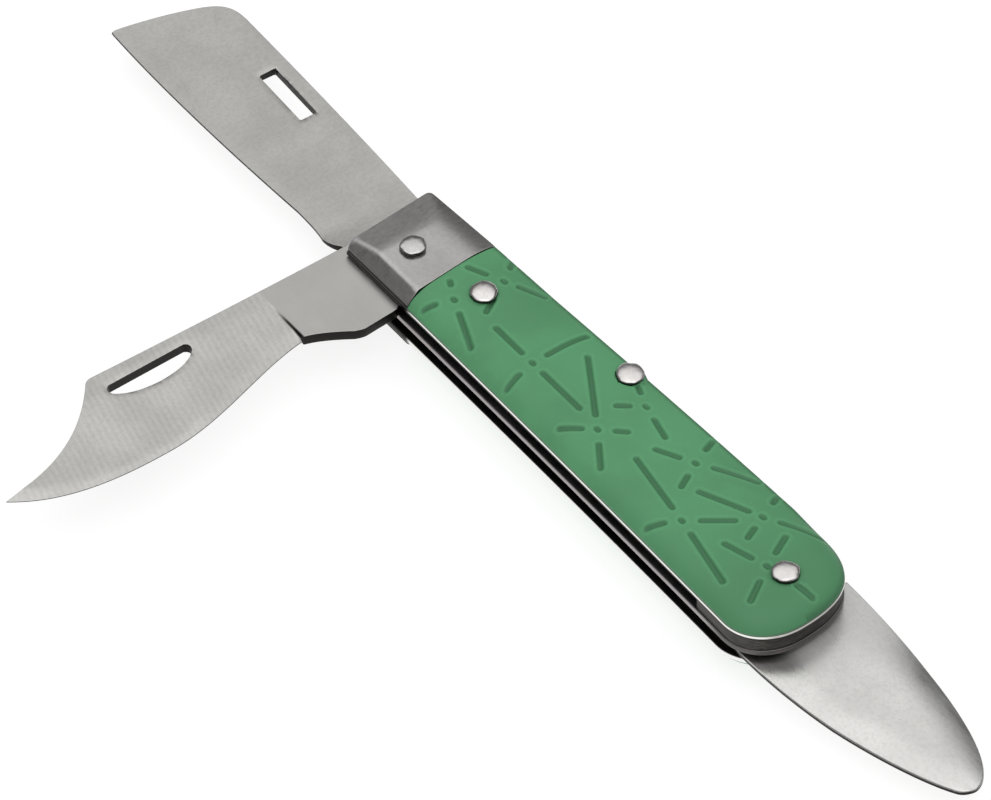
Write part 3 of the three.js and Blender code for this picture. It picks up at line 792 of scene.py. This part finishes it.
def scale_crown(x, y, away):
    """Height of the scale's face: steep along the well side, gentler along the spine."""
    ahead_of_tail = np.clip((CROWN_TAIL_X - x) / CROWN_TAIL_RUN, 0, 1)
    spine = np.clip(y / CROWN_TURN_Y, 0, 1) * ahead_of_tail
    joint = np.clip(1 - (x - JOINT_X) / SCALE_JOINT_RUN, 0, 1)
    spine_edge = SCALE_SPINE_EDGE + (SCALE_JOINT_EDGE - SCALE_SPINE_EDGE) * joint
    edge = SCALE_EDGE + (spine_edge - SCALE_EDGE) * spine
    power = SCALE_WELL_POWER + (SCALE_SPINE_POWER - SCALE_WELL_POWER) * spine
    rise = SCALE_FACE - COVER_LOW - edge
    return edge + rise * (1 - (1 - np.clip(away / SCALE_CROWN_RUN, 0, 1)) ** power)


def scale_shell(inset, rounder=0.0):
    """The upper scale's solid, and a mark for every vertex.

    The marks run from -1 on a groove's lip to 1 at its bottom and on the spine's rim: painted
    highlight on the lips, painted shade in the grooves and along the rim.
    """
    whole = handle_loop(inset, rounder)
    plan = clipped(whole, JOINT_X + JOINT_GAP, 1)
    grooves = groove_lines()
    offsets = (0.12, 0.26, 0.38, 0.5, 0.62, 0.76, 0.92)
    extra = [capsule(a, b, offset) for a, b in grooves for offset in offsets]
    extra += [line(a, b, GROOVE_SPACING) for a, b in grooves]
    extra += [circle(SPRING_RIVET, SEAT_RADIUS + step) for step in (-0.03, 0.03, 0.25, 0.5)]

    def top(x, y, d):
        points = np.column_stack([x, y])
        away = distance_to(points, whole)
        crown = scale_crown(x, y, away)
        share, off = groove_share(points, grooves)
        relief = GROOVE_LIP * np.exp(-((off - LIP_DISTANCE) / 0.14) ** 2) - GROOVE_DEPTH * share
        edge = fillet(d, SCALE_FILLET)
        height = COVER_LOW + crown + relief * np.clip((away - 0.3) / 1.2, 0, 1) - edge
        beside = np.linalg.norm(points - np.array(SPRING_RIVET), axis=1) - SEAT_RADIUS
        skirt = SEAT - np.clip(beside, 0, None) * SEAT_SKIRT_SLOPE - edge
        return np.where(beside < 0, SEAT, np.clip(height, skirt, SCALE_FACE))

    def clear(points):
        near = np.full(len(points), np.inf)
        for a, b in grooves:
            near = np.minimum(near, distance_to(points, np.array([a, b]), closed=False))
        return near > 1.05

    vertices, faces = slab(
        [plan],
        top,
        lambda x, y, d: np.full_like(x, COVER_LOW),
        rings=(*fillet_rings(SCALE_FILLET), 0.3, 0.6, 0.95, 1.35),
        spacing=0.55,
        extra=np.concatenate(extra),
        clear=clear,
        plain_bottom=True,
    )
    above = vertices[:, 2] > COVER_LOW + 0.01
    on_spine = vertices[:, 1] > 2
    # Painted shade along the spine's rim, where the crown falls away, and painted highlight on the
    # groove lips.
    rim = np.clip(1.4 - distance_to(vertices[:, :2], whole) / 0.6, 0, 1) * on_spine
    share, off = groove_share(vertices[:, :2], grooves)
    lip = np.exp(-((off - LIP_DISTANCE) / 0.16) ** 2)
    return (vertices, faces), (np.maximum(share, rim) - lip) * above


# ---- Liners and springs ----

def liner(low, high, pins, rounder):
    """A liner's solid between two heights, with holes for the pivot and the pins."""
    plan = clipped(handle_loop(rounder=rounder), HEAD_X, 1)
    plan = rounded(plan, SPINE_HEAD_CORNER, 1.7)
    holes = [circle(PIVOT, PIVOT_SHANK + HOLE_CLEARANCE)]
    holes += [circle(pin, PIN_SHANK + HOLE_CLEARANCE) for pin in pins]
    return plate([plan, *holes], low, high, radius=0.16)


SPRING_FRONT = (-3.0, 5.1)
SPRING_TOE = (4.5, 5.1)
SPRING_BACK_TAIL = (SPINE_TAIL[0], SPINE_TAIL[1] - SPRING_INSET)


def spring_back():
    """The springs' outer side, from the tail to the head."""
    return curve(
        SPRING_BACK_TAIL,
        (SPINE_BULGE[0], SPINE_BULGE[1] - SPRING_INSET),
        (SPRING_FRONT[0], SPINE_HEAD[1] + 0.3),
        steps=60,
    )


def upper_spring():
    """The back spring over the pruning blade, which also fills the upper well at the tail."""
    tail = TAIL_X - SPRING_INSET
    loop = joined(
        line(SPRING_FRONT, SPRING_TOE),
        line(SPRING_TOE, (7.0, 7.0)),
        line((7.0, 7.0), (16, 7.1)),
        curve((16, 7.1), (38, 7.4), (46, 8.3)),
        curve((46, 8.3), (49, 9.0), (53, 9.0)),
        line((53, 9.0), (66, 9.0)),
        curve((66, 9.0), (78, 8.6), (84, 4.5)),
        line((84, 4.5), (84, -7.9)),
        line((84, -7.9), (91, WELL_TAIL[1] + SPRING_INSET)),
        curve(
            (91, WELL_TAIL[1] + SPRING_INSET), (96, WELL_TAIL[1]), (tail, -3.9),
            (tail, TAIL_MIDDLE_Y),
        ),
        curve(
            (tail, TAIL_MIDDLE_Y), (tail, 9.4), (96.3, SPINE_TAIL[1] - 0.1), SPRING_BACK_TAIL,
        ),
        spring_back(),
    )
    holes = [circle(pin, PIN_SHANK + HOLE_CLEARANCE) for pin in (SPRING_RIVET, TAIL_RIVET)]
    return plate([loop, *holes], LINER_HIGH[1], LINER_LOW[2], radius=0.12)


def lower_spring():
    """The back spring over the grafting blade, which ends beside the lifter's root."""
    loop = joined(
        line(SPRING_FRONT, SPRING_TOE),
        line(SPRING_TOE, (11, 6.9)),
        line((11, 6.9), (92, 7.2)),
        line((92, 7.2), (92, 13.3)),
        curve((92, 13.3), (90, SPINE_TAIL[1] - 0.3), SPRING_BACK_TAIL),
        spring_back(),
    )
    hole = circle(SPRING_RIVET, PIN_SHANK + HOLE_CLEARANCE)
    return plate([loop, hole], LINER_HIGH[0], LINER_LOW[1], radius=0.12)


# ---- Blades, drawn fully open, pointing to -X with the back on +Y ----

def tang():
    """The tang's outline round the pivot, from its top shoulder to where the blade begins."""
    half = math.sqrt(TANG_RADIUS ** 2 - TANG_FLAT ** 2)
    corner = math.degrees(math.atan2(TANG_FLAT, half))
    return [
        line((SHOULDER_X, TANG_FLAT), (half, TANG_FLAT)),
        arc(PIVOT, TANG_RADIUS, corner, 90 - corner),
        line((TANG_FLAT, half), (TANG_FLAT, -half)),
        arc(PIVOT, TANG_RADIUS, corner - 90, -corner),
    ]


BLADE_FILLET = 0.08
GROUND_HALF = 0.3


def ground(middle, half, cutting_edge, x_plunge, plunge_run, y_top, y_edge, bevel_slope, edge_half):
    """Top and bottom of a blade: full behind the plunge line, ground down to the cutting edge."""
    def half_thickness(x, y, d):
        points = np.column_stack([x, y])
        share = np.clip((y_top - y) / (y_top - y_edge), 0, 1)
        thin = half - (half - GROUND_HALF) * share
        blend = np.clip((x_plunge - x) / plunge_run, 0, 1)
        blend = blend * blend * (3 - 2 * blend)
        body = half + (thin - half) * blend
        edge = distance_to(points, cutting_edge, closed=False)
        body = np.minimum(body, edge_half + edge * bevel_slope + half * (1 - blend))
        return body - np.minimum(fillet(d, BLADE_FILLET), body * 0.3)
    return (
        lambda x, y, d: middle + half_thickness(x, y, d),
        lambda x, y, d: middle - half_thickness(x, y, d),
    )


def slot_loop(x, y, length, width, angle, corner=0.35):
    """A rectangular opening with slightly rounded corners."""
    half = np.array((length / 2 - corner, width / 2 - corner))
    corners = ((1, -1, -90), (1, 1, 0), (-1, 1, 90), (-1, -1, 180))
    arcs = (arc(half * (sx, sy), corner, start, start + 90, 5) for sx, sy, start in corners)
    loop = joined(*arcs)
    return spin(np.column_stack([loop, np.zeros(len(loop))]), angle)[:, :2] + (x, y)


def grafting_blade():
    """The straight blade's solid."""
    low, high = heights("grafting_blade")
    middle, half = (low + high) / 2, (high - low) / 2
    cutting_edge = np.concatenate([
        curve((-16.4, -5.95), (-19, -5.4), (-24, -5.4), steps=8),
        curve((-24, -5.4), (-55, -6.9), (-74.9, -5.6), steps=70),
    ])
    loop = joined(
        *tang(),
        line((TANG_RADIUS * math.cos(math.radians(70)), -TANG_FLAT), (-13.1, -4.7)),
        curve((-13.1, -4.7), (-14.6, -5.9), (-16.4, -5.95), steps=10),
        cutting_edge,
        line((-74.9, -5.6), (-75.0, -4.9), 0.2),
        curve((-75.0, -4.9), (-73.2, 2.5), (-70.9, 7.8), steps=16),
        curve((-70.9, 7.8), (-69.0, 12.4), (-67.3, 13.5), (-63.5, 13.5), steps=16),
        curve((-63.5, 13.5), (-30, 12.6), (SHOULDER_X, 10.7), steps=60),
        line((SHOULDER_X, 10.7), (SHOULDER_X, TANG_FLAT)),
    )
    slot = slot_loop(-45.7, 8.75, 12.2, 3.2, -2.6)
    holes = [circle(PIVOT, PIVOT_SHANK + HOLE_CLEARANCE), slot]
    faces = ground(
        middle, half, cutting_edge, x_plunge=-9.6, plunge_run=8.0, y_top=13.0, y_edge=-6.3,
        bevel_slope=0.07, edge_half=0.25,
    )
    rings = (*fillet_rings(BLADE_FILLET), 0.4, 0.9, 1.4, 2.0, 2.5)
    return slab([loop, *holes], *faces, rings=rings, spacing=0.9)


def pruning_blade():
    """The curved blade's solid, and marks of painted shade, 1 in the plunge line."""
    low, high = heights("pruning_blade")
    middle, half = (low + high) / 2, (high - low) / 2
    before_plunge = curve((-16.2, -6.0), (-20.6, -2.9), (-23.4, -2.1), steps=10)
    past_plunge = np.concatenate([
        before_plunge[-1:],
        curve((-23.4, -2.1), (-33, -3.0), (-43.5, -8.5), (-54.3, -8.5), steps=48),
        curve((-54.3, -8.5), (-66, -8.6), (-74.5, -7.0), (-81.2, -1.7), steps=44),
    ])
    loop = joined(
        *tang(),
        line((TANG_RADIUS * math.cos(math.radians(70)), -TANG_FLAT), (-5.5, -TANG_FLAT)),
        line((-5.5, -TANG_FLAT), (-8.0, -6.3)),
        line((-8.0, -6.3), (-14.3, -6.6)),
        curve((-14.3, -6.6), (-15.2, -6.5), (-16.2, -6.0), steps=6),
        before_plunge,
        past_plunge,
        curve((-81.2, -1.7), (-72, -1.2), (-64, 1.8), (-57.2, 10.35), steps=44),
        curve((-57.2, 10.35), (-56.6, 11.15), (-55.6, 11.15), steps=5),
        curve((-55.6, 11.15), (-30, 10.1), (SHOULDER_X, 9.8), steps=60),
        line((SHOULDER_X, 9.8), (SHOULDER_X, TANG_FLAT)),
    )
    opening = joined(
        line((-54.3, 8.15), (-39.6, 8.15)),
        curve((-39.6, 8.15), (-38.4, 7.6), (-39.2, 6.3), steps=8),
        curve((-39.2, 6.3), (-41.5, 4.05), (-47.2, 4.05), steps=14),
        curve((-47.2, 4.05), (-52.5, 4.3), (-54.8, 6.4), steps=14),
        curve((-54.8, 6.4), (-55.4, 7.6), (-54.3, 8.15), steps=6),
    )
    holes = [circle(PIVOT, PIVOT_SHANK + HOLE_CLEARANCE), opening]
    faces = ground(
        middle, half, past_plunge, x_plunge=PLUNGE_X, plunge_run=PLUNGE_RUN, y_top=7.7,
        y_edge=-8.5, bevel_slope=0.22, edge_half=0.12,
    )
    rings = (*fillet_rings(BLADE_FILLET), 0.3, 0.55, 0.8, 1.1)
    columns = PLUNGE_X + np.linspace(0.3, -PLUNGE_RUN - 0.3, 9)
    extra = np.concatenate([line((x, -1.6), (x, 9.5), 0.4) for x in columns])
    vertices, faces = slab(
        [loop, *holes], *faces, rings=rings, spacing=0.8, extra=extra,
        clear=lambda points: np.abs(points[:, 0] - PLUNGE_X) > 1,
    )
    beside = np.abs(vertices[:, 0] - (PLUNGE_X - PLUNGE_RUN / 2)) / (PLUNGE_RUN / 2 + 0.1)
    marks = np.clip(1.3 - beside, 0, 1) * np.clip((6.0 - vertices[:, 1]) / 4, 0, 1)
    return (vertices, faces), marks


# ---- Bark lifter ----

LIFTER_EDGE_THICKNESS = 0.7
LIFTER_ROLL = 1.15
LIFTER_ROLL_RUN = 7.0
LIFTER_ROLL_POWER = 2.4
LIFTER_ROLL_GROWTH = 22.0
LIFTER_WELL_SIDE_SPEED = 1.5
LIFTER_SHOULDER_X = 92.3
LIFTER_ROOT_X = 78.0
LIFTER_ROOT_WELL_SIDE = -7.0
LIFTER_LEDGE_Y = 6.9
LIFTER_TIP = (137.2, 3.7)
LIFTER_FILLET = 0.2


def bark_lifter():
    """The lifter's solid: a flat root in the handle and a spoon with rolled-down edges."""
    well_edge = curve(
        (LIFTER_SHOULDER_X, -7.1), (112, -7.4), (133.7, 0.1), LIFTER_TIP, steps=70,
    )
    spine_edge = curve(
        (LIFTER_SHOULDER_X, 15.4), (113, 15.9), (137.5, 12.2), (LIFTER_TIP[0], 4.8), steps=80,
    )
    shoulder = (LIFTER_SHOULDER_X, LIFTER_LEDGE_Y)
    root_corner = (LIFTER_ROOT_X, LIFTER_ROOT_WELL_SIDE)
    loop = joined(
        line(root_corner, (LIFTER_SHOULDER_X, LIFTER_ROOT_WELL_SIDE)),
        well_edge,
        line(LIFTER_TIP, spine_edge[-1], 0.3),
        spine_edge[::-1],
        line(spine_edge[0], shoulder),
        line(shoulder, (LIFTER_ROOT_X, LIFTER_LEDGE_Y)),
        line((LIFTER_ROOT_X, LIFTER_LEDGE_Y), root_corner),
    )
    loop = rounded(loop, LIFTER_TIP, 1.6)

    def rolled(x, y):
        points = np.column_stack([x, y])
        near, far = (
            np.maximum(distance_to(points, edge, closed=False), 1e-3)
            for edge in (well_edge, spine_edge)
        )
        away = ((near * LIFTER_WELL_SIDE_SPEED) ** -3 + far ** -3) ** (-1 / 3)
        roll = (1 - np.clip(away / LIFTER_ROLL_RUN, 0, 1)) ** LIFTER_ROLL_POWER
        grown = np.clip((x - LIFTER_SHOULDER_X) / LIFTER_ROLL_GROWTH, 0, 1)
        return LIFTER_ROLL * grown * roll, roll

    def top(x, y, d):
        drop, _ = rolled(x, y)
        return LIFTER_TOP - drop - fillet(d, LIFTER_FILLET)

    def bottom(x, y, d):
        drop, roll = rolled(x, y)
        thickness = LIFTER_THICKNESS + (LIFTER_EDGE_THICKNESS - LIFTER_THICKNESS) * roll
        return LIFTER_TOP - drop - thickness + fillet(d, 0.1)

    hole = circle(TAIL_RIVET, PIN_SHANK + HOLE_CLEARANCE)
    rings = (*fillet_rings(LIFTER_FILLET), 0.45, 0.8, 1.2, 1.7, 2.3)
    return slab([loop, hole], top, bottom, rings=rings, spacing=0.7)


# ---- Rivets ----

HEAD_RIM = 0.5
HEAD_STEPS = 12
HEAD_DENTS = 0.15


def head_profile(radius, face, height, way):
    """A peened head from its rim to its crown, rounded under the rim."""
    points = [(radius - 0.12, face), (radius, face + way * 0.14)]
    points.append((radius, face + way * (HEAD_RIM - 0.05)))
    for step in range(1, HEAD_STEPS):
        angle = math.pi / 2 * step / HEAD_STEPS
        reach = radius * math.cos(angle) ** 0.8
        points.append((reach, face + way * (HEAD_RIM + (height - HEAD_RIM) * math.sin(angle))))
    points.append((0.0, face + way * height))
    return points


def rivet(place, shank, radius, face, seed):
    """A rivet through the handle; face is the height that its upper head stands on."""
    low_face = 2 * MIDDLE - face
    profile = head_profile(radius, low_face, low_face - (2 * MIDDLE - head_height(face)), -1)[::-1]
    profile += [(shank, low_face), (shank, face)]
    profile += head_profile(radius, face, head_height(face) - face, 1)
    return turned(place, profile, dents=HEAD_DENTS, seed=seed)


def head_height(face):
    """The crown's height over a face: a lowered seat lowers the whole head."""
    return HEAD_TOP if face > SEAT + 0.01 else HEAD_TOP - (SCALE_FACE - SEAT)


def scale_pin(seed):
    """The upper scale's front pin, which ends in the upper liner."""
    end = LINER_LOW[2] + 0.05
    profile = [(0.0, end), (PIN_SHANK, end), (PIN_SHANK, SCALE_FACE)]
    profile += head_profile(PIN_HEAD, SCALE_FACE, HEAD_TOP - SCALE_FACE, 1)
    return turned(FRONT_PIN, profile, dents=HEAD_DENTS, seed=seed)


def spacer():
    """The ring round the tail rivet, above the lifter's root."""
    low, high = heights("lifter_spacer")
    rings = [circle(TAIL_RIVET, radius) for radius in (SPACER_RADIUS, PIN_SHANK + HOLE_CLEARANCE)]
    return plate(rings, low, high, radius=0.08, spacing=1)


# ---- Assembly ----

upper_bolster = bolster()
upper_scale, groove_shade_and_highlight = scale_shell(COVER_INSET)
lower_scale, lower_groove_shade_and_highlight = scale_shell(LOWER_SCALE_INSET, LOWER_TAIL_ROUNDER)
finished("bolster_top_ground", *upper_bolster, "bolster_top", "handle", BOLSTER)
finished("bolster_bottom_ground", *mirrored(upper_bolster), "bolster_bottom", "handle", BOLSTER)
finished("scale_top_moulded", *upper_scale, "scale_top", "handle", GREEN, groove=groove_shade_and_highlight)
finished("scale_bottom_moulded", *mirrored(lower_scale), "scale_bottom", "handle", GREEN,
         groove=lower_groove_shade_and_highlight)

through_pins = (SPRING_RIVET, TAIL_RIVET)
liner_finish = {"bottom": LINER_OUTER, "centre": LINER, "top": LINER_UPPER}
for (name, finish), low, high in zip(liner_finish.items(), LINER_LOW, LINER_HIGH):
    pins = through_pins if name == "centre" else (*through_pins, FRONT_PIN)
    rounder = LOWER_TAIL_ROUNDER if name == "bottom" else 0.0
    solid = liner(low, high, pins, rounder)
    finished(f"liner_{name}_rolled", *solid, f"liner_{name}", "handle", finish)
finished("back_spring_upper_tempered", *upper_spring(), "back_spring_upper", "handle", SPRING)
finished("back_spring_lower_tempered", *lower_spring(), "back_spring_lower", "handle", SPRING)
finished("bark_lifter_polished", *bark_lifter(), "bark_lifter", "handle", LIFTER)
finished("lifter_spacer_turned", *spacer(), "lifter_spacer", "handle", LINER)

pin = scale_pin(seed=5)
lower_pin = mirrored((np.array(pin[0]), pin[1]))
finished("pivot_rivet_peened", *rivet(PIVOT, PIVOT_SHANK, PIVOT_HEAD, TOP_FACE, seed=1),
         "pivot_rivet", "handle", PIVOT_RIVET)
finished("spring_rivet_peened", *rivet(SPRING_RIVET, PIN_SHANK, PIN_HEAD, SEAT, seed=2),
         "spring_rivet", "handle", RIVET)
finished("tail_rivet_peened", *rivet(TAIL_RIVET, PIN_SHANK, PIN_HEAD, SCALE_FACE, seed=3),
         "tail_rivet", "handle", RIVET)
finished("scale_pin_top_peened", *pin, "scale_pin_top", "handle", RIVET)
finished("scale_pin_bottom_peened", *lower_pin, "scale_pin_bottom", "handle", RIVET)

finished("grafting_blade_ground", *grafting_blade(), "grafting_blade", "grafting_blade", GRAFTING)
curved_blade, plunge_shade = pruning_blade()
finished("pruning_blade_ground", *curved_blade, "pruning_blade", "pruning_blade", PRUNING,
         turn=90, groove=plunge_shade)


# ---- Stage ----

AIM = (0.030188, -0.006362, 0.0086)
VIEW_AZIMUTH = 52.8
VIEW_ELEVATION = 47.3
VIEW_DISTANCE = 1.7
LENS = 389.68
SENSOR_WIDTH = 36.0
FLOOR_HALF_SIZE = 3.0
FLOOR_GLOW = 0.82
SKY_LOW = 0.13
SKY_HIGH = 1.28


def direction(azimuth, elevation):
    """The way from the knife to something that looks at it, from angles in degrees."""
    a, e = math.radians(azimuth), math.radians(elevation)
    return Vector((math.sin(a) * math.cos(e), -math.cos(a) * math.cos(e), math.sin(e)))


def floor():
    """A plain pale floor that glows a little, so that the knife's shadows stay soft."""
    size = FLOOR_HALF_SIZE
    mesh = bpy.data.meshes.new("floor")
    corners = [(-size, -size, 0), (size, -size, 0), (size, size, 0), (-size, size, 0)]
    mesh.from_pydata(corners, [], [(0, 1, 2, 3)])
    made = bpy.data.objects.new("floor", mesh)
    bpy.context.scene.collection.objects.link(made)
    paper, _, shader = node_material("pale_floor")
    shader.inputs["Base Color"].default_value = (0.24, 0.24, 0.24, 1)
    shader.inputs["Roughness"].default_value = 0.9
    shader.inputs["Emission Color"].default_value = (1.0, 1.0, 1.0, 1.0)
    shader.inputs["Emission Strength"].default_value = FLOOR_GLOW
    mesh.materials.append(paper)


def softbox(name, azimuth, elevation, distance, size, power):
    """A square lamp that points at the middle of the knife."""
    lamp = bpy.data.lights.new(name, "AREA")
    lamp.shape = "SQUARE"
    lamp.size = size
    lamp.energy = power
    made = bpy.data.objects.new(name, lamp)
    bpy.context.scene.collection.objects.link(made)
    back = direction(azimuth, elevation)
    made.location = Vector(AIM) + back * distance
    made.rotation_euler = back.to_track_quat("Z", "Y").to_euler()


def surroundings():
    """Pale grey studio air, brighter overhead than near the horizon."""
    world = bpy.data.worlds.new("studio")
    bpy.context.scene.world = world
    world.use_nodes = True
    tree = world.node_tree
    where = add(tree, "ShaderNodeTexCoord")
    split = add(tree, "ShaderNodeSeparateXYZ")
    tree.links.new(where.outputs["Generated"], split.inputs["Vector"])
    strength = remap(tree, split.outputs["Z"], 0.45, 0.8, SKY_LOW, SKY_HIGH)
    background = tree.nodes["Background"]
    background.inputs["Color"].default_value = (1.0, 1.0, 1.0, 1.0)
    tree.links.new(strength, background.inputs["Strength"])


def camera():
    """A long lens that looks down at the knife."""
    lens = bpy.data.cameras.new("camera")
    lens.sensor_width = SENSOR_WIDTH
    lens.lens = LENS
    made = bpy.data.objects.new("camera", lens)
    bpy.context.scene.collection.objects.link(made)
    made.location = Vector(AIM) + direction(VIEW_AZIMUTH, VIEW_ELEVATION) * VIEW_DISTANCE
    made.rotation_euler = (math.radians(90 - VIEW_ELEVATION), 0, math.radians(VIEW_AZIMUTH))
    bpy.context.scene.camera = made


floor()
surroundings()
softbox("front_softbox", azimuth=70, elevation=60, distance=1.2, size=1.0, power=1.5)
camera()
bpy.context.scene.view_settings.view_transform = "Standard"
